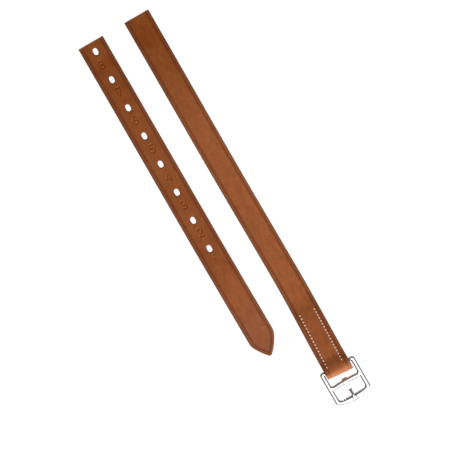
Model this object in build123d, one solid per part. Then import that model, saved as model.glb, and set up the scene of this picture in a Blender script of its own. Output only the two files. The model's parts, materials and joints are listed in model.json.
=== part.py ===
from build123d import *
import math
import os

# An English stirrup leather as two end lengths lying side by side: the pointed end with its
# punched holes, and the buckle end with its stitched turn-back. Millimetres. +Z is up and the
# leather lies on z = 0, +Y runs along the straps towards their square cut ends, and +X runs
# across them from the pointed strap to the buckle strap.

overall_length = 408.0
cut_end_y = overall_length / 2
leather = 3.8  # one layer

# Pointed strap
point_x = -26.2
point_width = 26.0
point_length = 333.2
point_shoulders = 16.0, 19.0  # left and right shoulder, measured back from the tip
point_bulge = 0.8, 1.5  # how far the left and right edges of the point bow outwards
point_offset = -1.1  # the tip lies a little left of the middle
tip_radius = 2.5
tip_rounded_off = 1.0  # how much length the tip's rounding takes off its sharp corner
shoulder_radius = 15.0
hole_count = 8
hole_pitch = 30.0
hole_size = 7.0, 5.0
first_hole = 9.4  # from the cut end

# Buckle strap
strap_x = 21.9
strap_width = 25.4
strap_length = 380.2
fold_y = cut_end_y - strap_length
turned = 3.2  # leather skived thinner where it turns back
turn_back = 68.5  # length of the turn-back under the strap
double = turned + leather
loop_radius = 5.0  # outside of the fold
loop_room = loop_radius - turned
crest = 7.5, 17.5  # where the fold's hump starts and stops falling, from the fold's end
slope = 54.0, 82.0  # where the strap falls off the turn-back
loop_closes = 13.5  # where the two layers meet behind the loop bar

# Lock stitches: distance in from the strap's edge, count, pitch, and last stitch from the fold
left_row = 5.2, 17, 3.34, 12.0
right_row = 5.1, 18, 3.09, 11.8
thread = 0.8
thread_proud = 0.25
thread_sunk = 0.4
leg_radius = 0.35
lock_height = 3.3  # where the needle thread meets the bobbin thread
bobbin_low, bobbin_high = 0.05, 0.7

# Buckle frame, drawn flat with its loop bar on the x axis and its front bar towards -y
buckle_x = 21.1
frame_width = 36.2
frame_thickness = 3.6
side_bar = 4.0
loop_bar_radius = 1.5
loop_bar_back = 7.85  # loop bar's axis from the fold's end
front_outer = 35.75
front_inner = 30.1
front_bow = 38.0  # radius of the front bar's outer edge
window_bow = 0.3
middle_bar = 15.8  # distance of its middle from the loop bar
middle_bar_bow = 0.9
middle_bar_radius = 2.0
window_corner = 2.5
front_corner = 1.6
back_corner = 2.4
end_corner = 1.4  # inner corner of each side bar's free end
edge_round = 1.2
notch_width = 3.8
notch_floor = 0.9

# Tongue
eye_width = 5.0
eye_bore = middle_bar_radius + 0.08
eye_radius = 3.2
plate_width = 3.5
tip_width = 2.3
plate_under = 0.6  # height of the plate's underside at the eye
knee = 23.5  # from the loop bar, where the plate narrows and drops
knee_run = 2.5  # length over which it narrows
knee_under = 1.5
tongue_end = 35.0
tip_bottom = notch_floor + 0.1
tip_top = 2.5
tip_corner = 0.7

loop_bar_y = fold_y + loop_bar_back
loop_bar_z = loop_radius
# the buckle droops from its loop bar until its front bar rests on the surface
reach = math.hypot(front_outer - edge_round, frame_thickness / 2 - edge_round)
tilt = math.degrees(math.asin((loop_bar_z - frame_thickness / 2) / reach))


def in_place(shape):
    """Moves a buckle piece from its flat drawing to where it lies in the strap's loop."""
    return Pos(buckle_x, loop_bar_y, loop_bar_z) * Rot(tilt, 0, 0) * shape


def across(face, width, x):
    """Extrudes a side view, drawn in Y and Z, to a width centred on x."""
    return Pos(x - width / 2, 0, 0) * extrude(Plane.YZ * face, width)


def under_top(lift=0.0):
    """Side view of all that lies under the strap's top surface, raised by lift."""
    y = [fold_y + d for d in (loop_radius, *crest, *slope, strap_length)]
    high, mid, low = 2 * loop_radius + lift, double + lift, leather + lift
    floor = -leather - 1
    level = [(1, 0), (1, 0)]
    outline = [
        Line((y[0], floor), (y[0], high)),
        Line((y[0], high), (y[1], high)),
        Spline([(y[1], high), (y[2], mid)], tangents=level),
        Line((y[2], mid), (y[3], mid)),
        Spline([(y[3], mid), (y[4], low)], tangents=level),
        Line((y[4], low), (y[5], low)),
        Line((y[5], low), (y[5], floor)),
        Line((y[5], floor), (y[0], floor)),
    ]
    return make_face(outline)


def strip(y0, y1, z0, z1):
    """A rectangle in the side view."""
    return Pos((y0 + y1) / 2, (z0 + z1) / 2) * Rectangle(y1 - y0, z1 - z0)


def loop_opening():
    """Side view of the space in the fold that the loop bar turns in."""
    y, z = fold_y + loop_radius, loop_radius
    past_bar = fold_y + loop_bar_back + 0.5
    body = Polyline(
        (y, z - loop_room),
        (fold_y + loop_closes, turned),
        (past_bar, z + loop_room),
        (y, z + loop_room),
        close=True,
    )
    return make_face(body) + Pos(y, z) * Circle(loop_room)


def buckle_leather():
    """The buckle strap: one layer, folded round the loop bar and turned back under itself."""
    above_floor = strip(fold_y, cut_end_y, 0, 2 * loop_radius)
    side = under_top() & above_floor
    side += Pos(fold_y + loop_radius, loop_radius) * Circle(loop_radius)
    side -= under_top(-leather) & strip(fold_y + turn_back, cut_end_y, 0, double)
    side -= loop_opening()
    return across(side, strap_width, strap_x)


def stitch_holes(count, pitch, last):
    """Where one row's needle holes lie along the strap."""
    return [fold_y + last + pitch * (i - 0.5) for i in range(count + 1)]


def needle_thread(x, holes):
    """The top thread: a run sunk in the leather, with a leg down each needle hole."""
    high = 3 * loop_radius
    run = under_top(thread_proud) - under_top(-thread_sunk)
    seam = across(run & strip(holes[0], holes[-1], 0, high), thread, x)
    legs = across(under_top(-thread_sunk / 2) & strip(fold_y, cut_end_y, lock_height, high), 2 * thread, x)
    for y in holes:
        seam += Pos(x, y, lock_height + high / 2) * Cylinder(leg_radius, high) & legs
    return seam


def bobbin_thread(x, holes):
    """The under thread: a run in a groove clear of the floor, with a leg up each hole."""
    seam = across(strip(holes[0], holes[-1], bobbin_low, bobbin_high), thread, x)
    middle = (bobbin_low + bobbin_high) / 2
    for y in holes:
        seam += Pos(x, y, (middle + lock_height) / 2) * Cylinder(leg_radius, lock_height - middle)
    return seam


def bobbin_groove(x, holes):
    """What the groove takes out below the under thread, so that it is open to the floor."""
    return across(strip(holes[0], holes[-1], -bobbin_high, bobbin_high / 2), thread, x)


def bowed(start, stop, bulge):
    """An arc from start to stop that bows to the right of a straight run by bulge."""
    a, b = Vector(*start), Vector(*stop)
    run = b - a
    out = Vector(run.Y, -run.X).normalized()
    return ThreePointArc(a, (a + b) / 2 + out * bulge, b)


def point_leather():
    """The pointed strap, with its oval holes."""
    half, tip_y = point_width / 2, cut_end_y - point_length
    sharp = point_offset, tip_y - tip_rounded_off
    left, right = (-half, tip_y + point_shoulders[0]), (half, tip_y + point_shoulders[1])
    plan = make_face(
        [
            Line((half, cut_end_y), (-half, cut_end_y)),
            Line((-half, cut_end_y), left),
            bowed(sharp, left, -point_bulge[0]),
            bowed(sharp, right, point_bulge[1]),
            Line(right, (half, cut_end_y)),
        ]
    )
    plan = fillet(plan.vertices().sort_by(Axis.Y)[:1], tip_radius)
    shoulders = [v for v in plan.vertices() if abs(abs(v.X) - half) < 0.01 and v.Y < 0]
    plan = fillet(shoulders, shoulder_radius)
    for i in range(hole_count):
        y = cut_end_y - first_hole - i * hole_pitch
        plan -= Pos(0, y) * Rot(0, 0, 90) * SlotOverall(*hole_size)
    return Pos(point_x, 0, 0) * extrude(plan, leather)


def bar_plan():
    """Plan of the frame's two side bars and its bowed front bar."""
    wide, inner = frame_width / 2, frame_width / 2 - side_bar
    end = front_bow - math.sqrt(front_bow**2 - wide**2) - front_outer
    outer = make_face(
        [
            Line((-wide, loop_bar_radius), (wide, loop_bar_radius)),
            Line((wide, loop_bar_radius), (wide, end)),
            ThreePointArc((wide, end), (0, -front_outer), (-wide, end)),
            Line((-wide, end), (-wide, loop_bar_radius)),
        ]
    )
    outer = fillet(outer.vertices().sort_by(Axis.Y)[2:], back_corner)
    outer = fillet(outer.vertices().sort_by(Axis.Y)[:2], front_corner)
    top, bottom = 2 * loop_bar_radius, window_bow - front_inner
    window = make_face(
        [
            Line((-inner, top), (inner, top)),
            Line((inner, top), (inner, bottom)),
            ThreePointArc((inner, bottom), (0, -front_inner), (-inner, bottom)),
            Line((-inner, bottom), (-inner, top)),
        ]
    )
    window = fillet(window.vertices().sort_by(Axis.Y)[:2], window_corner)
    plan = outer - window
    inner_ends = [v for v in plan.vertices() if v.Y > 0 and abs(abs(v.X) - inner) < 0.01]
    return fillet(inner_ends, end_corner)


def buckle_casting():
    """The buckle frame in one piece, with the notch that the tongue's tip rests in."""
    bars = Pos(0, 0, -frame_thickness / 2) * extrude(bar_plan(), frame_thickness)
    rims = bars.faces().filter_by(Axis.Z).edges()
    bars = fillet(rims, edge_round)
    seat = frame_width - side_bar  # both round bars end in the middle of the side bars
    loop_bar = Rot(0, 90, 0) * Cylinder(loop_bar_radius, seat)
    low = middle_bar + middle_bar_bow
    path = ThreePointArc((-seat / 2, -low), (0, -middle_bar), (seat / 2, -low))
    section = Plane(path @ 0, z_dir=path % 0) * Circle(middle_bar_radius)
    frame = bars + loop_bar + sweep(section, path)
    notch_length = 2 * (front_outer - front_inner) + side_bar
    notch = Pos(0, -front_outer, notch_floor + frame_thickness / 2) * Box(
        notch_width, notch_length, frame_thickness
    )
    return frame - notch


def tongue():
    """The tongue: an eye round the middle bar and a plate that narrows past its knee."""
    eye = Pos(-middle_bar, 0) * Circle(eye_radius)
    blade = make_face(
        Polyline(
            (-middle_bar, eye_radius),
            (-knee, eye_radius - 0.1),
            (-tongue_end, tip_top),
            (-tongue_end, tip_bottom),
            (-knee, knee_under),
            (-middle_bar - eye_bore, plate_under),
            (-middle_bar, plate_under),
            close=True,
        )
    )
    bore = Pos(-middle_bar, 0) * Circle(eye_bore)
    side = across(eye + blade - bore, eye_width, 0)
    wide, flat, slim = eye_width / 2, plate_width / 2, tip_width / 2
    shoulder = middle_bar + eye_bore
    right = [
        (wide, 2 * eye_radius - middle_bar),
        (wide, -shoulder),
        (flat, -shoulder - (wide - flat)),
        (flat, -knee),
        (slim, -knee - knee_run),
        (slim, -tongue_end),
    ]
    left = [(-x, y) for x, y in reversed(right)]
    plan = make_face(Polyline(*right, *left, close=True))
    plan = fillet(plan.vertices().sort_by(Axis.Y)[:2], tip_corner)
    return side & Pos(0, 0, -2 * eye_radius) * extrude(plan, 4 * eye_radius)


nodes = {
    "point_strap": point_leather(),
    "buckle_strap": buckle_leather(),
    "buckle_frame": in_place(buckle_casting()),
    "buckle_tongue": in_place(tongue()),
}
rows = {
    "left": (strap_x - strap_width / 2 + left_row[0], stitch_holes(*left_row[1:])),
    "right": (strap_x + strap_width / 2 - right_row[0], stitch_holes(*right_row[1:])),
}
for side, (x, holes) in rows.items():
    needle, bobbin = needle_thread(x, holes), bobbin_thread(x, holes)
    nodes["buckle_strap"] = nodes["buckle_strap"] - needle - bobbin - bobbin_groove(x, holes)
    nodes[f"stitch_{side}_needle_thread"] = needle
    nodes[f"stitch_{side}_bobbin_thread"] = bobbin

os.makedirs("parts", exist_ok=True)
for name, shape in nodes.items():
    export_step(shape, f"parts/{name}.step")
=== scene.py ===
import json
import math

import bmesh
import bpy
import numpy as np
from mathutils import Matrix, Vector, geometry, noise


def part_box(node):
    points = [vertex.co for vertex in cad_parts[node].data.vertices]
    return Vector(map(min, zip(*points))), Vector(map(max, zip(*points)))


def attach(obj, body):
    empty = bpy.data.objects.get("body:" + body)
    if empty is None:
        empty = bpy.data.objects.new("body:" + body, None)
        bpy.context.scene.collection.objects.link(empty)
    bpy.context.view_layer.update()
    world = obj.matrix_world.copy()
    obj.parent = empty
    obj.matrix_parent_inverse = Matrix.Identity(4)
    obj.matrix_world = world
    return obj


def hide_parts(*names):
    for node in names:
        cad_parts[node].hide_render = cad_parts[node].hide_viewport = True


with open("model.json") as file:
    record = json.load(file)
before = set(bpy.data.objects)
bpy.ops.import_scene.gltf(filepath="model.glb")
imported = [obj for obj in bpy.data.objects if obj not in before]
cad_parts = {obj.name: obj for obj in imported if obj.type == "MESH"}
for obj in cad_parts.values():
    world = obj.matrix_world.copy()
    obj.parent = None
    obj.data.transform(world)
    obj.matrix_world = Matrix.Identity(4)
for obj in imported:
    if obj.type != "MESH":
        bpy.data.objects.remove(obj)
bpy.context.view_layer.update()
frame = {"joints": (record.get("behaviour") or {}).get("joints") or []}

# Shapes are worked out in millimetres, in the frame's own axes, and scaled to metres as each
# mesh is made.
MM = 0.001


def box_mm(node):
    low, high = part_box(node)
    return Vector(low) / MM, Vector(high) / MM


point_low, point_high = box_mm("point_strap")
strap_low, strap_high = box_mm("buckle_strap")
frame_low, frame_high = box_mm("buckle_frame")
hinge = {j["name"]: Vector(j["pos_m"]) / MM for j in frame["joints"] if j["name"].endswith("swing")}
loop_bar, middle_bar = hinge["frame_swing"], hinge["tongue_swing"]

cut_y = strap_high.y
fold_y = strap_low.y
leather = point_high.z


# ---------------------------------------------------------------- curves and numbers


def ease(x):
    """0 to 1 with level ends."""
    x = np.clip(x, 0.0, 1.0)
    return x * x * (3 - 2 * x)


def along(points, x):
    """A smooth curve through a few (place, value) points."""
    places, values = np.array(points, float).T
    x = np.clip(x, places[0], places[-1])
    i = np.clip(np.searchsorted(places, x) - 1, 0, len(places) - 2)
    f = (x - places[i]) / (places[i + 1] - places[i])
    return values[i] + (values[i + 1] - values[i]) * ease(f)


def bell(x, width):
    return np.exp(-((np.asarray(x) / width) ** 2))


def uneven(x, y, size, seed):
    """Gentle smooth noise from -1 to 1, with lumps of the given size in millimetres."""
    return np.array([noise.noise(Vector((a / size, b / size, seed))) for a, b in zip(x, y)])


def arc(centre, radii, start, stop, count):
    angles = np.radians(np.linspace(start, stop, count))
    return np.c_[centre[0] + radii[0] * np.cos(angles), centre[1] + radii[1] * np.sin(angles)]


def heading(run):
    """The direction of a run in plan, in degrees from 0 to 360."""
    return math.degrees(math.atan2(run[1], run[0])) % 360


def crossing(a, radius_a, b, radius_b):
    """Where two circles cross, on the right of the line from the first to the second."""
    gap = np.linalg.norm(b - a)
    run = (b - a) / gap
    reach = (gap**2 + radius_a**2 - radius_b**2) / (2 * gap)
    return a + run * reach + np.array((-run[1], run[0])) * math.sqrt(radius_a**2 - reach**2)


def spread(start, stop, count):
    """Points spread evenly from start to stop, without the two ends."""
    f = np.linspace(0, 1, count + 2)[1:-1, None]
    return np.array(start) * (1 - f) + np.array(stop) * f


def evenly(points, count):
    """The same line with its points evenly spaced."""
    points = np.concatenate([np.atleast_2d(p) for p in points])
    run = np.r_[0, np.cumsum(np.linalg.norm(np.diff(points, axis=0), axis=1))]
    place = np.linspace(0, run[-1], count)
    return np.c_[np.interp(place, run, points[:, 0]), np.interp(place, run, points[:, 1])]


# ---------------------------------------------------------------- meshes


def link(obj):
    bpy.context.scene.collection.objects.link(obj)
    return obj


def piece(name, verts, faces, materials, masks=None, sharp=50, caps=0):
    """A closed mesh object from millimetre points, with one number per point for each mask.

    The last faces, as many as caps says, get the second material.
    """
    mesh = bpy.data.meshes.new(name)
    mesh.from_pydata((np.asarray(verts, float) * MM).tolist(), [], [list(map(int, f)) for f in faces])
    for mask, values in (masks or {}).items():
        mesh.attributes.new(mask, "FLOAT", "POINT").data.foreach_set("value", np.asarray(values, np.float32))
    for material in materials:
        mesh.materials.append(material)
    for f in range(len(faces) - caps, len(faces)):
        mesh.polygons[f].material_index = 1
    tidy(mesh, sharp)
    return link(bpy.data.objects.new(name, mesh))


def tidy(mesh, sharp):
    """Joins the points where patches meet, turns all faces outwards and keeps crisp edges crisp."""
    mesh.polygons.foreach_set("use_smooth", [True] * len(mesh.polygons))
    bm = bmesh.new()
    bm.from_mesh(mesh)
    bmesh.ops.remove_doubles(bm, verts=bm.verts, dist=0.003 * MM)
    bmesh.ops.recalc_face_normals(bm, faces=bm.faces)
    for edge in bm.edges:
        edge.smooth = not (len(edge.link_faces) == 2 and edge.calc_face_angle() > math.radians(sharp))
    bm.to_mesh(mesh)
    bm.free()


def bands(rows, columns, closed_rows=False, closed_columns=False):
    """Quads of a grid of points stored row by row."""
    faces = []
    for r in range(rows if closed_rows else rows - 1):
        for c in range(columns if closed_columns else columns - 1):
            r2, c2 = (r + 1) % rows, (c + 1) % columns
            faces.append([r * columns + c, r * columns + c2, r2 * columns + c2, r2 * columns + c])
    return faces


def loft(sections, closed=False, around=28):
    """A solid through rounded sections, each (centre, half width, half height, squareness)."""
    angles = np.linspace(0, 2 * math.pi, around, endpoint=False)
    c, s = np.cos(angles), np.sin(angles)
    verts = []
    for centre, a, b, power in sections:
        u, v = (np.sign(k) * np.abs(k) ** (2 / power) for k in (c, s))
        verts.append(np.array(centre) + np.outer(u, a) + np.outer(v, b))
    faces = bands(len(sections), around, closed, True)
    if not closed:
        last = (len(sections) - 1) * around
        faces += [list(range(around))[::-1], [last + k for k in range(around)]]
    return np.concatenate(verts), faces


def join(target, tool):
    """Joins one closed mesh with another, which is then removed."""
    change = target.modifiers.new("join", "BOOLEAN")
    change.object, change.operation, change.solver = tool, "UNION", "EXACT"
    graph = bpy.context.evaluated_depsgraph_get()
    mesh = bpy.data.meshes.new_from_object(target.evaluated_get(graph))
    target.modifiers.clear()
    target.data = mesh
    bpy.data.objects.remove(tool)


# ---------------------------------------------------------------- materials


class Nodes:
    """Short calls for building one material's nodes."""

    def __init__(self, name):
        self.material = bpy.data.materials.new(name)
        self.material.use_nodes = True
        self.tree = self.material.node_tree
        self.shader = self.tree.nodes["Principled BSDF"]

    def add(self, kind, values=None, **settings):
        node = self.tree.nodes.new(kind)
        for key, value in settings.items():
            setattr(node, key, value)
        for key, value in (values or {}).items():
            self.put(node.inputs[key], value)
        return node

    def put(self, socket, value):
        if isinstance(value, bpy.types.NodeSocket):
            self.tree.links.new(value, socket)
        else:
            socket.default_value = value

    def position(self, scale=(1, 1, 1)):
        place = self.add("ShaderNodeTexCoord").outputs["Object"]
        return self.add("ShaderNodeMapping", {"Vector": place, "Scale": scale}).outputs[0]

    def noise(self, size, detail=4, rough=0.55, scale=(1, 1, 1), bend=0.0):
        """Noise with lumps of about the given size in millimetres."""
        values = {"Vector": self.position(scale), "Scale": 1 / (size * MM), "Detail": detail}
        values |= {"Roughness": rough, "Distortion": bend}
        return self.add("ShaderNodeTexNoise", values).outputs["Fac"]

    def cells(self, size, feature="DISTANCE_TO_EDGE"):
        values = {"Vector": self.position(), "Scale": 1 / (size * MM)}
        return self.add("ShaderNodeTexVoronoi", values, feature=feature).outputs["Distance"]

    def mask(self, name):
        return self.add("ShaderNodeAttribute", attribute_name=name).outputs["Fac"]

    def maths(self, operation, a, b=0.0):
        node = self.add("ShaderNodeMath", operation=operation)
        self.put(node.inputs[0], a)
        self.put(node.inputs[1], b)
        return node.outputs[0]

    def remap(self, value, low, high, out_low=0.0, out_high=1.0):
        values = {"Value": value, "From Min": low, "From Max": high, "To Min": out_low, "To Max": out_high}
        return self.add("ShaderNodeMapRange", values).outputs[0]

    def ramp(self, value, stops):
        node = self.add("ShaderNodeValToRGB", {"Fac": value})
        stop = node.color_ramp.elements
        stop[0].position, stop[0].color = stops[0][0], (*stops[0][1], 1)
        stop[1].position, stop[1].color = stops[-1][0], (*stops[-1][1], 1)
        for place, colour in stops[1:-1]:
            stop.new(place).color = (*colour, 1)
        return node.outputs["Color"]

    def mix(self, fac, a, b):
        """Colour a changed to colour b by fac."""
        node = self.add("ShaderNodeMix", data_type="RGBA")
        self.put(node.inputs[0], fac)
        for socket, value in zip(node.inputs[6:8], (a, b)):
            self.put(socket, (*value, 1) if isinstance(value, tuple) else value)
        return node.outputs[2]

    def bump(self, height, depth, strength=1.0, under=None):
        values = {"Height": height, "Distance": depth * MM, "Strength": strength}
        if under is not None:
            values["Normal"] = under
        return self.add("ShaderNodeBump", values).outputs["Normal"]


def seen(*colour):
    """A colour as seen, from 0 to 255, as the linear numbers that shaders use."""
    shares = (c / 255 for c in colour)
    return tuple(v / 12.92 if v <= 0.04045 else ((v + 0.055) / 1.055) ** 2.4 for v in shares)


def raw_colour(n):
    """The colour and relief of leather's fibrous side."""
    fibres = n.noise(0.35, 6, 0.7, (1, 0.5, 1), 0.8)
    return n.mix(n.remap(fibres, 0.3, 0.7), (0.16, 0.062, 0.026), (0.34, 0.165, 0.082)), fibres


def leather_material(name, y_stops):
    """Waxed bridle leather. y_stops give its colour along the strap, towards the cut end."""
    n = Nodes(name)
    y = n.add("ShaderNodeSeparateXYZ", {"Vector": n.position()}).outputs["Y"]
    low, high = -cut_y * MM, cut_y * MM
    stops = [((s * MM - low) / (high - low), seen(*colour)) for s, colour in y_stops]
    drift = n.maths("ADD", y, n.remap(n.noise(40, 2), 0.2, 0.8, -0.012, 0.012))
    grain = n.ramp(n.remap(drift, low, high), stops)
    # mottling at three sizes: wax bloom, pull-up patches and fine flecks
    bloom = n.remap(n.noise(20, 5, 0.62, bend=0.8), 0.35, 0.68, 0.0, 0.34)
    grain = n.mix(bloom, grain, (0.37, 0.125, 0.040))
    patches = n.remap(n.noise(7, 6, 0.65, (1, 0.5, 1), 1.4), 0.38, 0.66, 0.0, 0.36)
    grain = n.mix(patches, grain, (0.13, 0.032, 0.009))
    flecks = n.remap(n.noise(0.9, 3, 0.7), 0.45, 0.75, 0.0, 0.22)
    grain = n.mix(flecks, grain, (0.10, 0.027, 0.008))
    pores = n.remap(n.cells(0.55, "F1"), 0.0, 0.35, 0.30, 0.0)
    grain = n.mix(pores, grain, (0.07, 0.020, 0.008))
    # creases and edges are dyed and burnished darker; the same edge mask paints shade in and round the
    # punched holes
    worn = n.remap(n.noise(3.0, 4, 0.6), 0.25, 0.75, 0.38, 0.62)
    grain = n.mix(n.maths("MULTIPLY", n.mask("crease"), worn), grain, (0.075, 0.020, 0.010))
    grain = n.mix(n.maths("MULTIPLY", n.mask("border"), 0.25), grain, (0.12, 0.036, 0.020))
    edge_dye_and_hole_shade = n.maths("MULTIPLY", n.mask("edge"), n.maths("MULTIPLY", worn, 0.6))
    grain = n.mix(edge_dye_and_hole_shade, grain, (0.085, 0.030, 0.016))
    # painted shade in stamped strokes, stitch grooves, needle pits and wrinkle valleys, partly the own
    # darkening of pressed leather
    grain = n.mix(n.maths("MULTIPLY", n.mask("pressed_and_shaded"), 0.06), grain, (0.10, 0.032, 0.014))
    # painted highlight: the fold's end is painted paler where it faces the light
    fold_highlight_share = n.remap(n.noise(2.4, 4, 0.6, (0.4, 1, 1)), 0.2, 0.8, 0.30, 0.55)
    grain = n.mix(n.maths("MULTIPLY", n.mask("fold_highlight"), fold_highlight_share), grain, seen(205, 136, 98))
    raw, fibres = raw_colour(n)
    flesh = n.mask("flesh")
    n.put(n.shader.inputs["Base Color"], n.mix(flesh, grain, raw))
    shine = n.remap(n.noise(9, 4, 0.6), 0.3, 0.7, 0.46, 0.60)
    n.put(n.shader.inputs["Roughness"], n.maths("ADD", shine, n.maths("MULTIPLY", flesh, 0.35)))
    n.shader.inputs["Specular IOR Level"].default_value = 0.07
    skin = n.bump(n.cells(0.42), 0.035, 0.55)
    skin = n.bump(n.noise(0.16, 3, 0.6), 0.02, 0.5, skin)
    skin = n.bump(n.noise(2.6, 5, 0.6, (1, 0.55, 1), 0.6), 0.10, 0.5, skin)
    n.put(n.shader.inputs["Normal"], n.bump(n.maths("MULTIPLY", fibres, flesh), 0.16, 0.8, skin))
    return n.material


def cut_material():
    """A cut face across leather: layered fibres, dyed brown."""
    n = Nodes("cut_leather")
    raw, fibres = raw_colour(n)
    layers = n.noise(0.5, 4, 0.6, (0.2, 1, 2.5))
    n.put(n.shader.inputs["Base Color"], n.mix(n.remap(layers, 0.35, 0.7), raw, (0.11, 0.045, 0.024)))
    n.put(n.shader.inputs["Roughness"], n.remap(fibres, 0.3, 0.7, 0.75, 0.9))
    n.shader.inputs["Specular IOR Level"].default_value = 0.2
    n.put(n.shader.inputs["Normal"], n.bump(layers, 0.12, 0.8))
    return n.material


def steel_material():
    """Polished stainless steel with fine wear."""
    n = Nodes("polished_steel")
    haze = n.noise(5, 5, 0.6)
    tone = n.mix(n.remap(haze, 0.3, 0.7), (0.74, 0.74, 0.73), (0.84, 0.84, 0.825))
    dust = n.remap(n.noise(0.5, 4, 0.7), 0.62, 0.8, 0.0, 0.22)
    n.put(n.shader.inputs["Base Color"], n.mix(dust, tone, (0.30, 0.30, 0.29)))
    n.shader.inputs["Metallic"].default_value = 1.0
    scratches = n.remap(n.noise(0.25, 3, 0.6, (1, 0.06, 1)), 0.52, 0.75)
    rough = n.maths("ADD", n.remap(haze, 0.3, 0.7, 0.06, 0.12), n.maths("MULTIPLY", scratches, 0.10))
    n.put(n.shader.inputs["Roughness"], rough)
    waves = n.bump(n.noise(3.0, 2, 0.5), 0.05, 0.2)
    n.put(n.shader.inputs["Normal"], n.bump(scratches, 0.01, 0.3, waves))
    return n.material


def thread_material():
    """Waxed cream linen, with painted shade where it dips into the leather."""
    n = Nodes("waxed_linen")
    stain = n.noise(1.6, 4, 0.6)
    tone = n.mix(n.remap(stain, 0.35, 0.75), seen(244, 214, 190), seen(216, 172, 138))
    n.put(n.shader.inputs["Base Color"], n.mix(n.mask("sunk_shade"), tone, seen(84, 46, 24)))
    n.put(n.shader.inputs["Roughness"], n.remap(stain, 0.3, 0.7, 0.62, 0.78))
    n.shader.inputs["Sheen Weight"].default_value = 0.15
    n.put(n.shader.inputs["Normal"], n.bump(n.noise(0.12, 4, 0.7, (1, 0.3, 1)), 0.03, 0.8))
    return n.material


def floor_material():
    """Pale card, shown as pure white where it is seen directly, as in a cut-out catalogue picture."""
    n = Nodes("pale_floor")
    cloud = n.noise(60, 3, 0.5)
    direct = n.add("ShaderNodeLightPath").outputs["Is Camera Ray"]
    card = n.mix(cloud, (0.20, 0.20, 0.20), (0.22, 0.22, 0.22))
    n.put(n.shader.inputs["Base Color"], n.mix(direct, card, (0.05, 0.05, 0.05)))
    n.shader.inputs["Roughness"].default_value = 0.9
    n.shader.inputs["Specular IOR Level"].default_value = 0.1
    n.shader.inputs["Emission Color"].default_value = (1, 1, 1, 1)
    n.put(n.shader.inputs["Emission Strength"], direct)
    return n.material


# ---------------------------------------------------------------- leather sections

CREASE_IN = 3.4  # from the strap's edge
CREASE_WIDE = 0.85
CREASE_DEEP = 0.40
BURNISH = 1.4  # how far the dyed edge reaches in
INNER_EDGE = 5.4  # where the creased border gives way to the plain middle

# The edge's rounding on the two sides: distance in from the edge, and depth from that side
GRAIN_EDGE = [(0.0, 1.25), (0.03, 0.95), (0.14, 0.60), (0.36, 0.30), (0.68, 0.11), (1.1, 0.03), (1.6, 0.0)]
FLESH_EDGE = [(0.7, 0.0), (0.34, 0.05), (0.10, 0.22), (0.0, 0.55)]


def edge_section():
    """Half of a strap's section, from the flesh side round the edge to the grain side.

    Gives each point's distance in, its side (0 flesh, 1 grain) and its depth from that side.
    """
    points = [(d, 0, depth) for d, depth in FLESH_EDGE] + [(0.0, 0, leather * 0.42)]
    points += [(d, 1, depth) for d, depth in GRAIN_EDGE]
    points += [(d, 1, 0.0) for d in np.arange(CREASE_IN - 1.6, INNER_EDGE - 0.1, 0.26)]
    return np.array(points + [(INNER_EDGE, 1, 0.0)])


def crease_at(inset, wider=1.0):
    return bell(inset - CREASE_IN, CREASE_WIDE * wider)


def section_masks(inset, side):
    """How creased, dyed and raw each point of a section is."""
    wall = (side == 0) & (inset < 0.05)
    return {
        "crease": side * crease_at(inset, 1.1),
        "edge": 1 - ease(inset / BURNISH),
        "border": 1 - ease((inset - 2.4) / 1.6),
        "flesh": np.where(side == 1, 0.0, np.where(wall, 0.35, 1.0)),
    }


class Skin:
    """The points, faces and masks of one leather mesh, built up patch by patch."""

    MASKS = "crease", "edge", "border", "flesh", "pressed_and_shaded", "fold_highlight"

    def __init__(self):
        self.verts, self.faces, self.masks = [], [], {k: [] for k in self.MASKS}

    def add(self, verts, faces, **masks):
        start = sum(len(v) for v in self.verts)
        self.verts.append(np.asarray(verts, float))
        self.faces += [[start + k for k in f] for f in faces]
        for name, values in self.masks.items():
            values.append(np.broadcast_to(masks.get(name, 0.0), len(verts)).astype(float))

    def make(self, name, materials, caps):
        masks = {k: np.concatenate(v) for k, v in self.masks.items()}
        return piece(name, np.concatenate(self.verts), self.faces, materials, masks, 50, caps)


# ---------------------------------------------------------------- pointed strap

HOLES, PITCH, HOLE_LONG, HOLE_WIDE, FIRST_HOLE = 8, 30.0, 6.7, 4.5, 9.4
FIRST_NUMERAL_ASIDE = -1.5  # the 8 is struck off the middle
NUMERAL_BACK, NUMERAL_TALL = 13.2, 7.6  # centre below its hole, and height
NUMERAL_REACH = 4.2  # half width of the finely meshed patch that holds a numeral
STROKE = 0.62  # how far a stamped stroke spreads from its middle line
STROKE_DEEP = 0.46
TIP_RADIUS, SHOULDER_RADIUS = 2.5, 15.0
SHOULDERS = 16.0, 19.0  # left and right, measured back from the tip
BULGES = 0.8, 1.5  # how far the point's left and right edges bow outwards
TIP_ASIDE = -1.1  # the tip lies a little left of the middle
TIP_ROUNDED_OFF = 1.0  # how much length the tip's rounding takes off its sharp corner

point_x = (point_low.x + point_high.x) / 2
half_point = (point_high.x - point_low.x) / 2
tip_y = point_low.y
hole_ys = [cut_y - FIRST_HOLE - i * PITCH for i in range(HOLES)]


def bowed_edge(sharp, sign, shoulder, bulge):
    """Centres of one edge's bow and of its rounded shoulder, and the bow's radius."""
    corner = np.array((sign * half_point, tip_y + shoulder))
    run = corner - sharp
    length = np.linalg.norm(run)
    radius = (length**2 / 4 + bulge**2) / (2 * bulge)
    inward = np.array((-run[1], run[0])) * sign / length
    centre = (sharp + corner) / 2 + inward * (radius - bulge)
    x = sign * (half_point - SHOULDER_RADIUS)
    drop = math.sqrt((radius - SHOULDER_RADIUS) ** 2 - (x - centre[0]) ** 2)
    return centre, np.array((x, centre[1] - drop)), radius


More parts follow.
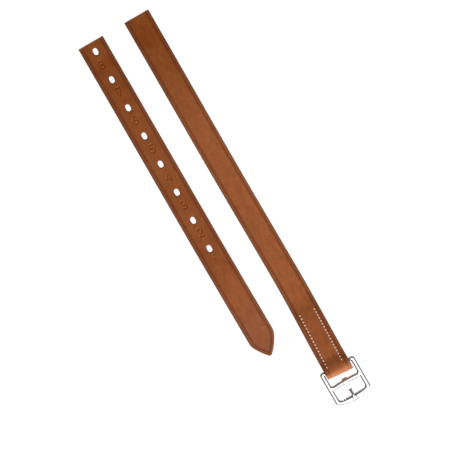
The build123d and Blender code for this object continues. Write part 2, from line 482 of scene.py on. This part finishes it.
def point_path(inset):
    """The strap's plan from the cut end round the tip and back, moved in from its edge."""
    sharp = np.array((TIP_ASIDE, tip_y - TIP_ROUNDED_OFF))
    (left, turn_l, radius_l), (right, turn_r, radius_r) = (
        bowed_edge(sharp, *edge) for edge in zip((-1, 1), SHOULDERS, BULGES)
    )
    radius_l, radius_r, turn = radius_l - inset, radius_r - inset, SHOULDER_RADIUS - inset
    tip_radius = max(TIP_RADIUS - inset, 0.3)
    tip = crossing(left, radius_l - tip_radius, right, radius_r - tip_radius)
    headings = [180] + [heading(v) for v in (turn_l - left, tip - left, tip - right, turn_r - right)] + [360]
    centres = turn_l, left, tip, right, turn_r
    radii = turn, radius_l, tip_radius, radius_r, turn
    counts = 12, 14, 11, 14, 12
    arcs = []
    for centre, radius, start, stop, count in zip(centres, radii, headings, headings[1:], counts):
        bend = arc(centre, (radius, radius), start, stop, count)
        arcs.append(bend if centre is tip else bend[1:-1])
    arcs = np.concatenate(arcs)
    start, stop = (inset - half_point, cut_y), (half_point - inset, cut_y)
    side_l, side_r = (start[0], turn_l[1]), (stop[0], turn_r[1])
    rows = 150
    return np.concatenate(
        [[start], spread(start, side_l, rows), [side_l], arcs, [side_r], spread(side_r, stop, rows), [stop]]
    )


def hole_ring(y, grow):
    """An oval hole's outline in plan, grown by a little."""
    r, straight = HOLE_WIDE / 2 + grow, (HOLE_LONG - HOLE_WIDE) / 2
    top, bottom = arc((0, y + straight), (r, r), 0, 180, 17), arc((0, y - straight), (r, r), 180, 360, 17)
    return np.concatenate([top, bottom])


def numeral(digit):
    """A digit's strokes, two wide and three tall about its middle."""
    return {
        1: [[(-0.5, 0.95), (0.12, 1.5), (0.12, -1.5)]],
        2: [[*arc((0, 0.68), (0.85, 0.82), 165, -35, 14), (-0.9, -1.5), (0.92, -1.5)]],
        3: [arc((-0.02, 0.76), (0.78, 0.74), 150, -90, 14), arc((-0.02, -0.72), (0.9, 0.78), 90, -150, 14)],
        4: [[(0.42, -1.5), (0.42, 1.5), (-0.92, -0.6), (0.95, -0.6)]],
        5: [[(0.8, 1.5), (-0.62, 1.5), (-0.72, 0.22), *arc((-0.02, -0.58), (0.88, 0.92), 135, -145, 16)]],
        6: [arc((0, -0.66), (0.84, 0.84), 0, 360, 22), arc((0.85, -0.5), (1.69, 2.0), 105, 180, 12)],
        7: [[(-0.85, 1.5), (0.88, 1.5), (-0.2, -1.5)]],
        8: [arc((0, 0.8), (0.68, 0.70), 0, 360, 20), arc((0, -0.7), (0.86, 0.80), 0, 360, 22)],
    }[digit]


def stroke_distance(points):
    """How far each plan point is from the nearest stroke of any stamped numeral."""
    best = np.full(len(points), 99.0)
    scale = NUMERAL_TALL / 3
    for i, y in enumerate(hole_ys):
        aside = 0.25 * math.sin(2.1 * i) if i else FIRST_NUMERAL_ASIDE
        centre = np.array((aside, y - NUMERAL_BACK + 0.5 * math.sin(1.3 * i)))
        near = np.abs(points[:, 1] - centre[1]) < NUMERAL_TALL
        tilt = math.radians(3 * math.sin(1.7 * i + 1))
        turn = np.array([[math.cos(tilt), -math.sin(tilt)], [math.sin(tilt), math.cos(tilt)]])
        for stroke in numeral(HOLES - i):
            line = np.array(stroke) * scale @ turn.T + centre
            for a, b in zip(line[:-1], line[1:]):
                p, d = points[near] - a, b - a
                f = np.clip(p @ d / (d @ d), 0, 1)
                best[near] = np.minimum(best[near], np.linalg.norm(p - f[:, None] * d, axis=1))
    return best


def hole_distance(points):
    """How far each plan point is outside the nearest hole's edge."""
    best = np.full(len(points), 99.0)
    straight = (HOLE_LONG - HOLE_WIDE) / 2
    for y in hole_ys:
        dy = np.maximum(np.abs(points[:, 1] - y) - straight, 0)
        best = np.minimum(best, np.hypot(points[:, 0], dy) - HOLE_WIDE / 2)
    return best


def inside(points, ring):
    """Which points lie inside a closed outline."""
    hit = np.zeros(len(points), bool)
    for (x0, y0), (x1, y1) in zip(ring, np.roll(ring, -1, axis=0)):
        if y0 != y1:
            crosses = (points[:, 1] > min(y0, y1)) & (points[:, 1] <= max(y0, y1))
            hit ^= crosses & (points[:, 0] < x0 + (points[:, 1] - y0) * (x1 - x0) / (y1 - y0))
    return hit


def lattice(x0, x1, y0, y1, step):
    """Staggered points that cover a rectangle."""
    xs, ys = np.arange(x0, x1, step), np.arange(y0, y1, step * 0.87)
    return [(x + (r % 2) * step / 2, y) for r, y in enumerate(ys) for x in xs]


def fill_plan(outline, rings, loose):
    """Triangles that fill an outline round its holes, with their points."""
    points, edges = [], []
    for ring in [outline, *rings]:
        edges += [(len(points) + k, len(points) + (k + 1) % len(ring)) for k in range(len(ring))]
        points += [Vector(p) for p in ring]
    points += [Vector(p) for p in loose]
    done = geometry.delaunay_2d_cdt(points, edges, [], 0, 1e-5)
    verts, tris = np.array([tuple(v) for v in done[0]]), np.array(done[2])
    middle = verts[tris].mean(1)
    keep = inside(middle, outline)
    for ring in rings:
        keep &= ~inside(middle, ring)
    return verts, tris[keep]


def point_wander(verts):
    """A hand-cut strap isn't quite straight or even: shifts plan points sideways."""
    y = verts[:, 1]
    shift = along([(tip_y, 0.5), (0, -0.15), (cut_y, 0.0)], y)
    width = along([(tip_y, 1.0), (cut_y, 0.995)], y)
    ripple = 0.07 * np.array([noise.noise(Vector((v / 26, 0, 3))) for v in y])
    out = verts.copy()
    out[:, 0] = point_x + verts[:, 0] * width + shift + ripple
    return out


def point_grain(plan):
    """Height of the pointed strap's grain side, before its creases, and its masks."""
    stroke, from_hole = stroke_distance(plan), hole_distance(plan)
    # the stamped strokes' profile, also used to paint shade in them, partly the own darkening of stamped
    # leather
    pressed_and_shaded = bell(stroke, STROKE)
    swell = 0.14 * bell(stroke - 1.3, 0.5)
    rim = 0.12 * bell(from_hole - 0.5, 0.9)
    z = leather + 0.06 * uneven(plan[:, 0], plan[:, 1], 15, 1.0) - STROKE_DEEP * pressed_and_shaded + swell - rim
    # painted shade round each hole's rim, through the edge mask
    return z, {"pressed_and_shaded": pressed_and_shaded, "edge": 0.8 * bell(from_hole - 0.3, 0.6)}


def point_strap(materials):
    skin = Skin()
    section = edge_section()
    rows = []
    for inset, side, depth in section:
        path = point_path(inset)
        z = np.full(len(path), depth)
        if side:
            z = point_grain(path)[0] - depth - CREASE_DEEP * crease_at(inset)
        rows.append(np.c_[path, z])
    masks = section_masks(section[:, 0], section[:, 1])
    masks = {k: np.repeat(v, len(rows[0])) for k, v in masks.items()}
    skin.add(point_wander(np.concatenate(rows)), bands(len(rows), len(rows[0])), **masks)
    # grain side between the creases, finer where the numerals are stamped
    side = half_point - INNER_EDGE
    loose = lattice(-side, side, tip_y, cut_y - 0.6, 1.4)
    for y in hole_ys:
        middle, tall = y - NUMERAL_BACK, NUMERAL_TALL * 0.66
        loose = [p for p in loose if abs(p[1] - middle) > tall or abs(p[0]) > NUMERAL_REACH]
        loose += lattice(-NUMERAL_REACH, NUMERAL_REACH, middle - tall, middle + tall, 0.25)
    loose = np.array(loose)
    clear = inside(loose, point_path(INNER_EDGE + 0.5)) & (hole_distance(loose) > 1.15)
    plan, tris = fill_plan(point_path(INNER_EDGE), [hole_ring(y, 0.8) for y in hole_ys], loose[clear])
    z, masks = point_grain(plan)
    skin.add(point_wander(np.c_[plan, z]), tris, **masks)
    # walls of the holes, from the pressed rim down to the flesh side
    from_grain = [(0.8, 0.0), (0.5, 0.07), (0.22, 0.28), (0.05, 0.7), (0.0, 1.2)]
    from_flesh = [(0.0, 0.5), (0.08, 0.15), (0.25, 0.0)]
    for y in hole_ys:
        rim = hole_ring(y, from_grain[0][0])
        top = point_grain(rim)[0]
        rings = [np.c_[hole_ring(y, grow), top - depth] for grow, depth in from_grain]
        rings += [np.c_[hole_ring(y, grow), top * 0 + z] for grow, z in from_flesh]
        # painted shade down each hole's wall, through the edge mask
        shade = np.repeat([0.3, 0.6, 0.9, 1.0, 1.0, 0.8, 0.4, 0.0], len(rim))
        raw = np.repeat([0, 0, 0.1, 0.35, 0.6, 0.8, 1, 1], len(rim))
        faces = bands(len(rings), len(rim), closed_columns=True)
        skin.add(point_wander(np.concatenate(rings)), faces, edge=shade, flesh=raw)
    # flesh side
    inset = section[0][0]
    loose = np.array(lattice(-half_point + 1, half_point - 1, tip_y, cut_y - 1, 2.6))
    clear = inside(loose, point_path(inset + 1.2)) & (hole_distance(loose) > 1.2)
    rings = [hole_ring(y, from_flesh[-1][0]) for y in hole_ys]
    plan, tris = fill_plan(point_path(inset), rings, loose[clear])
    skin.add(point_wander(np.c_[plan, np.zeros(len(plan))]), tris, flesh=1.0)
    # the square cut end
    ends = np.array([row[0] for row in rows] + [row[-1] for row in rows[::-1]])
    skin.add(point_wander(ends), [list(range(len(ends)))], flesh=1.0)
    return skin.make("point_strap_leather", materials, caps=1)


# ---------------------------------------------------------------- buckle strap

TURNED = 3.2  # the leather is skived thinner where it turns back
TURN_BACK = 68.5  # length of the turn-back under the strap
CREST = 7.0, 20.0  # where the fold's hump starts and stops falling, from the fold's end
SLOPE = 54.0, 82.0  # where the strap comes down off the turn-back
LAYER_GAP = 0.04
PLAIN_STEP, STITCHED_STEP = 1.2, 0.42  # between the strap's stations
# each wrinkle's Y, lean, place across, reach across, width along and share of the full depth
WRINKLES = [
    (-54.0, -0.5, 1.0, 7.5, 2.6, 1.0), (-72.0, -0.3, 4.5, 6.5, 2.2, 0.9), (-77.5, -0.3, 4.5, 6.0, 2.2, -0.6),
    (-60.5, -0.4, -1.0, 6.0, 2.4, -0.5), (-40.0, 0.3, 0.0, 8.0, 3.2, -0.6), (-34.0, 0.3, 1.0, 8.0, 2.6, 0.5),
]
WRINKLE_DEEP = 0.16
SPARE_HOLE = 1.6  # an empty needle hole lies this far past each row's last stitch
FOLD_ASKEW = 0.09  # how much further out the fold's end lies for each millimetre across
# Lock stitches: count, pitch, last stitch from the fold, and how far across from the strap's
# middle the row lies at that stitch and at its other end
STITCH_ROWS = {"left": (17, 3.34, 12.0, -8.4, -7.2), "right": (18, 3.09, 11.8, 6.9, 7.7)}

fold_radius = loop_bar.z
eye = fold_radius - TURNED
half_strap = (strap_high.x - strap_low.x) / 2


def strap_middle(y):
    """The buckle strap's middle across its width, which wanders a little along it."""
    bends = [(fold_y, 20.8), (-75, 22.5), (40, 22.0), (cut_y, 22.5)]
    return along(bends, y)


def strap_half(y):
    widths = [(fold_y, 12.9), (-60, 12.5), (cut_y, 12.8)]
    return along(widths, y)


def stitch_holes(side):
    """Where one row's needle holes lie along the strap, as distances from the fold."""
    count, pitch, last = STITCH_ROWS[side][:3]
    return last + pitch * (np.arange(count + 1) - 0.5)


def row_across(side, t):
    """A stitch row's distance across from the strap's middle."""
    holes = stitch_holes(side)
    return np.interp(t, (holes[0], holes[-1]), STITCH_ROWS[side][3:])


def laid(across, y):
    """Where a distance across the strap comes in X, with the strap's wander."""
    return strap_middle(y) + across * strap_half(y) / half_strap


def top_line(t):
    """Height of the strap's top surface at a distance from the fold's end."""
    hump = ease((CREST[1] - t) / (CREST[1] - CREST[0]))
    slope = ease((SLOPE[1] - t) / (SLOPE[1] - SLOPE[0]))
    return leather + TURNED * slope + (2 * fold_radius - leather - TURNED) * hump


def strap_stations():
    """Side view of the strap from its cut end, round the fold and back to the turn-back's end.

    Gives each station's grain point and flesh point, in Y and Z.
    """
    grain, flesh = [], []
    plain = np.arange(cut_y - fold_y, SLOPE[1] + 2, -PLAIN_STEP)
    stitched = np.arange(plain[-1] - STITCHED_STEP, fold_radius + 0.2, -STITCHED_STEP)
    for t in np.concatenate([plain, stitched]):
        thick = leather - (leather - TURNED) * ease((CREST[1] - t) / (CREST[1] - CREST[0]))
        grain.append((t, top_line(t)))
        flesh.append((t, top_line(t) - thick))
    for angle in np.radians(np.linspace(90, 270, 30)):
        turn = np.array((math.cos(angle), math.sin(angle)))
        grain.append(fold_radius * (1 + turn))
        flesh.append(fold_radius + eye * turn)
    for t in np.arange(fold_radius + STITCHED_STEP, TURN_BACK, STITCHED_STEP):
        grain.append((t, 0.0))
        flesh.append((t, min(TURNED, top_line(t) - leather) - LAYER_GAP))
    return np.array(grain), np.array(flesh)


def row_press(across, t, groove, groove_wide, pit):
    """How deep the thread's grooves and their needle holes go into the leather."""
    deep = np.zeros(np.broadcast(across, t).shape)
    for side in STITCH_ROWS:
        holes = stitch_holes(side)
        off = across - row_across(side, t)
        spare = holes[0] - SPARE_HOLE
        from_hole = np.min(np.abs(t[..., None] - holes), axis=-1)
        in_row = ease((t - holes[0] + 0.9) / 0.8) * ease((holes[-1] + 0.9 - t) / 0.8)
        deep += in_row * (groove * bell(off, groove_wide) + pit * bell(np.hypot(off, from_hole), 0.5))
        deep += pit * bell(np.hypot(off, t - spare), 0.6)
    return deep


def wrinkles(across, y):
    """Shallow valleys and ridges, below 0, where the strap has been bent by hand."""
    deep = np.zeros(across.shape)
    for middle, lean, place, reach, width, share in WRINKLES:
        off = y - middle - lean * (across - place)
        deep += share * bell(off, width) * bell(across - place, reach)
    return deep


def buckle_strap(materials):
    grain, flesh = strap_stations()
    count = len(grain)
    t = grain[:, :1]
    section = edge_section()
    # one closed ring of columns: across, distance in, side, and depth from that side
    left = np.c_[section[:, 0] - half_strap, section]
    right = np.c_[half_strap - section[:, 0], section][::-1]
    top_x = np.arange(-half_strap + INNER_EDGE + 0.25, half_strap - INNER_EDGE - 0.2, 0.25)
    back_x = np.linspace(half_strap - 1.4, -half_strap + 1.4, 16)
    top = np.c_[top_x, half_strap - np.abs(top_x), top_x * 0 + 1, top_x * 0]
    back = np.c_[back_x, half_strap - np.abs(back_x), back_x * 0, back_x * 0]
    x, inset, side, depth = np.concatenate([left, top, right, back]).T
    turned = (np.arange(count) > np.argmin(grain[:, 0]))[:, None]
    thick = np.linalg.norm(grain - flesh, axis=1)[:, None]
    across = np.broadcast_to(x, (count, len(x)))
    lumps = uneven(np.tile(x, count), np.repeat(grain[:, 0], len(x)), 13, 7.0).reshape(across.shape)
    above = row_press(across, t, 0.16, 0.8, 0.62) + 0.05 * lumps * ease((inset - 0.4) / 2)
    bent = wrinkles(across, t + fold_y)
    above += WRINKLE_DEEP * bent
    below = np.minimum(row_press(across, t, 0.80, 0.62, 0.1), thick * 0.55)
    press = np.where(turned, below, above) + CREASE_DEEP * crease_at(inset) * np.where(turned, 0.5, 1.0)
    share = np.where(side == 1, depth / leather + press / thick, 1 - depth / leather)
    yz = grain[:, None, :] * (1 - share[..., None]) + flesh[:, None, :] * share[..., None]
    # the fold's end lies a little askew
    askew = FOLD_ASKEW * across * ease((fold_radius + 2 - t) / (fold_radius + 2)) * (1 - share)
    y = yz[..., 0] + fold_y - askew
    # the strap wanders sideways as one piece, its turned-back layer with it
    verts = np.stack([laid(across, y), y, np.maximum(yz[..., 1], 0.0)], axis=-1).reshape(-1, 3)
    masks = {k: np.tile(v, count) for k, v in section_masks(inset, side).items()}
    # painted shade in the stitch grooves and needle pits, partly pressed leather's own darkening, and
    # painted shade in the wrinkle valleys
    groove_and_valley_shade = np.clip(press / 0.7, 0, 1) * (crease_at(inset) < 0.3) + 0.9 * np.clip(bent, 0, 1) * ~turned
    masks["pressed_and_shaded"] = (side * np.clip(groove_and_valley_shade, 0, 1)).ravel()
    # painted highlight over the last few millimetres of the fold's end
    masks["fold_highlight"] = (side * ease((7.5 - t) / 5.5)).ravel()
    skin = Skin()
    last = (count - 1) * len(x)
    ends = [list(range(len(x))), [last + k for k in range(len(x))]]
    skin.add(verts, bands(count, len(x), closed_columns=True) + ends, **masks)
    return skin.make("buckle_strap_leather", materials, caps=2)


# ---------------------------------------------------------------- stitching

THREAD_RADIUS = 0.52
THREAD_SIDES = 18
TWIST = 2.3  # length of one turn of the thread's three plies
SLANT = 0.28  # how far each stitch leans across its row


def twisted(path, radii):
    """A three-ply twisted thread along a path."""
    path = np.array(path)
    run = np.gradient(path, axis=0)
    run /= np.linalg.norm(run, axis=1)[:, None]
    side = np.cross(run, (1.0, 0.0, 0.0))
    side /= np.linalg.norm(side, axis=1)[:, None]
    over = np.cross(run, side)
    length = np.r_[0, np.cumsum(np.linalg.norm(np.diff(path, axis=0), axis=1))]
    angles = np.linspace(0, 2 * math.pi, THREAD_SIDES, endpoint=False)
    verts = []
    for centre, a, b, s, radius in zip(path, side, over, length, radii):
        r = radius * (0.86 + 0.16 * np.abs(np.cos(1.5 * (angles - 2 * math.pi * s / TWIST))))
        verts.append(centre + np.outer(r * np.cos(angles), a) + np.outer(r * np.sin(angles), b))
    last = (len(path) - 1) * THREAD_SIDES
    faces = bands(len(path), THREAD_SIDES, closed_columns=True)
    faces += [list(range(THREAD_SIDES))[::-1], [last + k for k in range(THREAD_SIDES)]]
    return np.concatenate(verts), faces


def stitches(side, under, material):
    """One row's thread, over the leather from hole to hole and dipping into each."""
    holes = stitch_holes(side)
    steps = 16
    path, dips = [], []
    for i, (a, b) in enumerate(zip(holes[:-1], holes[1:])):
        wobble = 0.1 * noise.noise(Vector((i * 1.7, len(side), under)))
        for f in np.arange(steps) / steps:
            t = a + (b - a) * f
            dip = 1 - math.sin(math.pi * f) ** 1.1
            z = 0.36 + 0.55 * dip if under else top_line(t) - 0.02 - 1.25 * dip
            x = laid(row_across(side, t), fold_y + t) + SLANT * math.cos(math.pi * f) + wobble
            path.append((x, fold_y + t, z))
            dips.append(dip)
    size = THREAD_RADIUS * (0.72 if under else 1.0) * (1 - 0.3 * np.array(dips))
    verts, faces = twisted(path, size)
    # painted shade where the thread dips into its needle holes
    masks = {"sunk_shade": np.repeat(np.clip(np.array(dips) * 1.25, 0, 1), THREAD_SIDES)}
    kind = "bobbin" if under else "needle"
    obj = piece(f"{side}_{kind}_stitches", verts, faces, [material], masks, 180)
    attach(obj, "buckle_strap")
    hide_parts(f"stitch_{side}_{kind}_thread")


# ---------------------------------------------------------------- buckle

# The buckle is drawn flat, with its loop bar on the x axis and its front bar towards -y
THICK = 3.6
SIDE_BAR = 4.0
LOOP_BAR = 1.5  # radius
FRONT_OUTER, FRONT_INNER, FRONT_BOW, WINDOW_BOW = 35.75, 30.1, 38.0, 0.3
FRONT_CORNER, BACK_CORNER, WINDOW_CORNER, LOOP_CORNER = 1.6, 2.4, 2.9, 1.3
MIDDLE_BAR, MIDDLE_BOW, MIDDLE_RADIUS = 15.8, 0.9, 2.0
MIDDLE_FILLET = 2.6  # where the middle bar runs out into the side bars, towards the loop bar
NOTCH_WIDE, NOTCH_FLOOR = 3.8, 0.9
FRONT_REACH, NOTCH_REACH = 12.9, 3.0  # where the front bar's corners end, and where its fine middle starts
EYE_WIDTH, EYE_BORE, EYE_RADIUS = 5.0, MIDDLE_RADIUS + 0.08, 3.2
PLATE_WIDTH, TIP_WIDTH, KNEE, KNEE_RUN, TONGUE_END = 3.5, 2.3, 23.5, 2.5, 35.0

# Heights along the tongue, from the middle bar: it dips past its knee and rises to its tip
TONGUE_TOP = [
    (0, EYE_RADIUS), (2.4, EYE_RADIUS), (4.9, 2.8), (6.9, 1.8), (14.6, 3.4), (17.2, 3.25), (19.6, 2.5),
]
TONGUE_UNDER = [(0, 0.6), (3, 0.6), (7.7, 0.5), (10.5, 0.9), (15.2, 1.0), (19.6, 1.0)]

half_frame = (frame_high.x - frame_low.x) / 2
drop = middle_bar - loop_bar
buckle_place = Matrix.Translation(loop_bar * MM) @ Matrix.Rotation(math.atan2(-drop.z, -drop.y), 4, "X")


def front_edge(x):
    """The front bar's outer edge."""
    return FRONT_BOW - FRONT_OUTER - np.sqrt(FRONT_BOW**2 - x**2)


def window_edge(x):
    """The front bar's inner edge."""
    return -FRONT_INNER + WINDOW_BOW * (x / (half_frame - SIDE_BAR)) ** 2


def frame_edges():
    """Matched points on the frame's outer and inner edges, from its back's middle to its front's."""
    wide, inner = half_frame, half_frame - SIDE_BAR
    turn_out, turn_in = wide - BACK_CORNER - 2.7, inner - LOOP_CORNER
    ends = (turn_out, LOOP_BAR), (turn_in, -LOOP_BAR)
    back = tuple(evenly([(0, end[1]), end], 12) for end in ends)
    back_out = arc((wide - BACK_CORNER, LOOP_BAR - BACK_CORNER), (BACK_CORNER, BACK_CORNER), 90, 0, 12)
    back_in = arc((turn_in, -LOOP_BAR - LOOP_CORNER), (LOOP_CORNER, LOOP_CORNER), 90, 0, 9)
    side_start = back_in[-1][1]
    turn = evenly([(turn_out, LOOP_BAR), back_out, (wide, side_start)], 18), evenly([back_in], 18)
    corner_x = inner - WINDOW_CORNER
    side_end = window_edge(corner_x) + WINDOW_CORNER
    sides = tuple(evenly([(x, side_start), (x, side_end)], 24) for x in (wide, inner))
    x, radius = wide - FRONT_CORNER, FRONT_BOW - FRONT_CORNER
    centre = x, FRONT_BOW - FRONT_OUTER - math.sqrt(radius**2 - x**2)
    front_out = arc(centre, (FRONT_CORNER, FRONT_CORNER), 0, math.degrees(math.asin(x / radius)) - 90, 12)
    front_in = arc((corner_x, side_end), (WINDOW_CORNER, WINDOW_CORNER), 0, -86, 12)
    xs = np.linspace(front_out[-1][0], FRONT_REACH, 10)
    corner = (
        evenly([(wide, side_end), front_out, np.c_[xs, front_edge(xs)][1:]], 20),
        evenly([front_in], 20),
    )
    plain = np.linspace(FRONT_REACH, NOTCH_REACH, 16)
    xs = np.concatenate([plain, np.linspace(2.85, 1.25, 22), np.linspace(1.1, 0.0, 4)])
    pulled_in = ease((xs - NOTCH_REACH) / (FRONT_REACH - NOTCH_REACH))
    inner_xs = xs * (1 - (1 - front_in[-1][0] / FRONT_REACH) * pulled_in)
    front = np.c_[xs, front_edge(xs)], np.c_[inner_xs, window_edge(inner_xs)]
    runs = [back, turn, sides, corner, front]
    return [np.concatenate([r[k][:-1] for r in runs[:-1]] + [runs[-1][k]]) for k in (0, 1)]


def frame_ring():
    """The frame's loop bar, side bars and front bar as one closed ring."""
    outer, inner = (np.concatenate([e, e[-2:0:-1] * (-1, 1)]) for e in frame_edges())
    sections = []
    for out, back in zip(outer, inner):
        centre, a = (out + back) / 2, (out - back) / 2
        on_loop = ease((half_frame - 3.4 - abs(centre[0])) / 2.0) * (centre[1] > -2)
        high = low = THICK / 2 + (LOOP_BAR - THICK / 2) * on_loop
        if centre[1] < -FRONT_INNER + 1:
            notch = ease((NOTCH_WIDE / 2 + 0.35 - abs(centre[0])) / 0.6)
            high -= (high - NOTCH_FLOOR) * notch
        power = 2.15 - 0.15 * on_loop
        sections.append(((*centre, (high - low) / 2), (*a, 0), (0, 0, (high + low) / 2), power))
    return loft(sections, closed=True, around=40)


def middle_bar_solid():
    """The round middle bar, flaring a little into the side bars."""
    reach = half_frame - SIDE_BAR / 2
    sections = []
    for x in np.linspace(-reach, reach, 61):
        y = -MIDDLE_BAR - MIDDLE_BOW * (x / reach) ** 2
        turned = min(max((abs(x) - (half_frame - SIDE_BAR - MIDDLE_FILLET)) / MIDDLE_FILLET, 0.0), 1.0)
        flare = MIDDLE_FILLET / 2 * (1 - math.sqrt(1 - turned**2))
        radius = MIDDLE_RADIUS - 0.25 * ease((abs(x) - 11.5) / 3)
        sections.append(((x, y + flare, 0), (0, radius + flare, 0), (0, 0, radius), 2.0))
    return loft(sections, around=40)


def buckle_frame(material):
    obj = piece("buckle_frame_casting", *frame_ring(), [material])
    join(obj, piece("bar", *middle_bar_solid(), [material]))
    tidy(obj.data, 38)
    return obj


def buckle_tongue(material):
    """The tongue: a strip whose eye wraps the middle bar, with a plate that narrows to its tip."""
    ring = []
    seam = 4  # degrees: the strip's end, which stops just under the plate's root
    for degrees in np.linspace(seam, -270, 72):
        outward = np.array((math.cos(math.radians(degrees)), math.sin(math.radians(degrees))))
        grown = 0.8 + 0.2 * ease((seam - degrees) / 30)
        thick = (EYE_RADIUS - EYE_BORE) * grown
        half = EYE_WIDTH / 2 * (0.5 + 0.5 * grown)
        ring.append((outward * (EYE_BORE + thick), outward * EYE_BORE, half, 3.0))
    knee = KNEE - MIDDLE_BAR
    length = TONGUE_END - MIDDLE_BAR
    towards_tip = length - 1.2 * (1 - np.linspace(0, 1, 12)) ** 1.6
    for u in np.concatenate([np.arange(0.25, length - 1.2, 0.28), towards_tip]):
        top = float(along(TONGUE_TOP, u))
        over_bar = math.sqrt(max(EYE_BORE**2 - u * u, 0.0))
        under = min(max(over_bar, float(along(TONGUE_UNDER, u))), top - 0.9)
        half = EYE_WIDTH / 2 + (PLATE_WIDTH - EYE_WIDTH) / 2 * ease((u - EYE_BORE + 0.6) / 1.6)
        half += (TIP_WIDTH - PLATE_WIDTH) / 2 * ease((u - knee) / KNEE_RUN)
        half += 0.35 * ease((u - length + 4.4) / 1.2)
        blunt = math.sqrt(max(1 - (1 - min((length - u) / 1.0, 1)) ** 2, 0.0))
        middle, span = (top + under) / 2, (top - under) / 2 * (0.35 + 0.65 * blunt)
        neck = ease((u - knee) / KNEE_RUN) * ease((length - 3.2 - u) / 1.2)
        ring.append(((u, middle + span), (u, middle - span), half * (0.3 + 0.7 * blunt), 4.0 - 2.2 * neck))
    sections = []
    for outside, inside_, half, power in ring:
        high = np.array((0.0, -MIDDLE_BAR - outside[0], outside[1]))
        low = np.array((0.0, -MIDDLE_BAR - inside_[0], inside_[1]))
        sections.append(((high + low) / 2, (half, 0, 0), (high - low) / 2, power))
    return piece("buckle_tongue_steel", *loft(sections, around=36), [material], sharp=60)


# ---------------------------------------------------------------- the parts


def settle(obj, body, node):
    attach(obj, body)
    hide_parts(node)


cut = cut_material()
# four tones of the same dyed leather: the lengths darken towards their cut ends
tan, russet, chestnut, dark_brown = (158, 90, 50), (152, 88, 58), (142, 76, 38), (126, 62, 16)
point_colours = [(-100, russet), (-70, tan), (-40, chestnut), (90, chestnut), (180, dark_brown)]
strap_colours = [(-176, tan), (-140, chestnut), (-80, tan), (80, tan), (170, dark_brown)]
settle(point_strap([leather_material("point_leather", point_colours), cut]), "point_strap", "point_strap")
settle(buckle_strap([leather_material("buckle_strap_leather", strap_colours), cut]), "buckle_strap",
       "buckle_strap")

linen = thread_material()
for side in STITCH_ROWS:
    for under in (False, True):
        stitches(side, under, linen)

steel = steel_material()
for make, node in ((buckle_frame, "buckle_frame"), (buckle_tongue, "buckle_tongue")):
    obj = make(steel)
    obj.data.transform(buckle_place)
    settle(obj, node, node)


# ---------------------------------------------------------------- floor, light and camera

VIEW_TURN = math.radians(-30.05)  # the straps run up and to the right of the picture
VIEW_WIDTH = 415.6  # what the picture takes in, from side to side
VIEW_HEIGHT = 4000.0
VIEW_MIDDLE = Vector((-3.0, -3.8, 0.0))
FLOOR_DROP = -0.00005  # metres, so that the floor doesn't share a plane with the leather
SKY_DARK, SKY_BRIGHT = 0.19, 1.6
SKY_FROM, SKY_TO = 0.91, 1.0  # where the sky starts and stops brightening, as Z less Y
FLOOR_HALF = 6.0  # metres
SENSOR = 36.0


def floor():
    mesh = bpy.data.meshes.new("floor")
    signs = (-1, -1), (1, -1), (1, 1), (-1, 1)
    corners = [(x * FLOOR_HALF, y * FLOOR_HALF, FLOOR_DROP) for x, y in signs]
    mesh.from_pydata(corners, [], [(0, 1, 2, 3)])
    mesh.materials.append(floor_material())
    link(bpy.data.objects.new("floor", mesh))


def lamp(name, place, size, power):
    data = bpy.data.lights.new(name, "AREA")
    data.shape, data.size, data.energy = "DISK", size, power
    obj = link(bpy.data.objects.new(name, data))
    obj.location = place
    obj.rotation_euler = (-Vector(place)).to_track_quat("-Z", "Y").to_euler()


def sky():
    """A soft white studio overhead and towards -Y, dark round the horizon and towards +Y."""
    world = bpy.data.worlds.new("studio")
    world.use_nodes = True
    tree = world.node_tree
    place = tree.nodes.new("ShaderNodeTexCoord")
    lean = tree.nodes.new("ShaderNodeVectorMath")
    lean.operation = "DOT_PRODUCT"
    lean.inputs[1].default_value = (0.0, -1.0, 1.0)
    tree.links.new(place.outputs["Generated"], lean.inputs[0])
    rise = tree.nodes.new("ShaderNodeMapRange")
    rise.interpolation_type = "SMOOTHSTEP"
    ranges = {"From Min": SKY_FROM, "From Max": SKY_TO, "To Min": SKY_DARK, "To Max": SKY_BRIGHT}
    for key, value in ranges.items():
        rise.inputs[key].default_value = value
    tree.links.new(lean.outputs["Value"], rise.inputs["Value"])
    tree.links.new(rise.outputs[0], tree.nodes["Background"].inputs["Strength"])
    tree.nodes["Background"].inputs["Color"].default_value = (1, 1, 1, 1)
    bpy.context.scene.world = world


def camera():
    data = bpy.data.cameras.new("camera")
    data.sensor_width = SENSOR
    data.lens = SENSOR * VIEW_HEIGHT / VIEW_WIDTH
    data.clip_end = 100
    obj = link(bpy.data.objects.new("camera", data))
    obj.location = (VIEW_MIDDLE + Vector((0, 0, VIEW_HEIGHT))) * MM
    obj.rotation_euler = (0, 0, VIEW_TURN)
    bpy.context.scene.camera = obj


floor()
sky()
lamp("from_buckle_end", (0.45, -1.95, 1.15), 0.6, 32)
bpy.context.scene.view_settings.view_transform = "Standard"
camera()
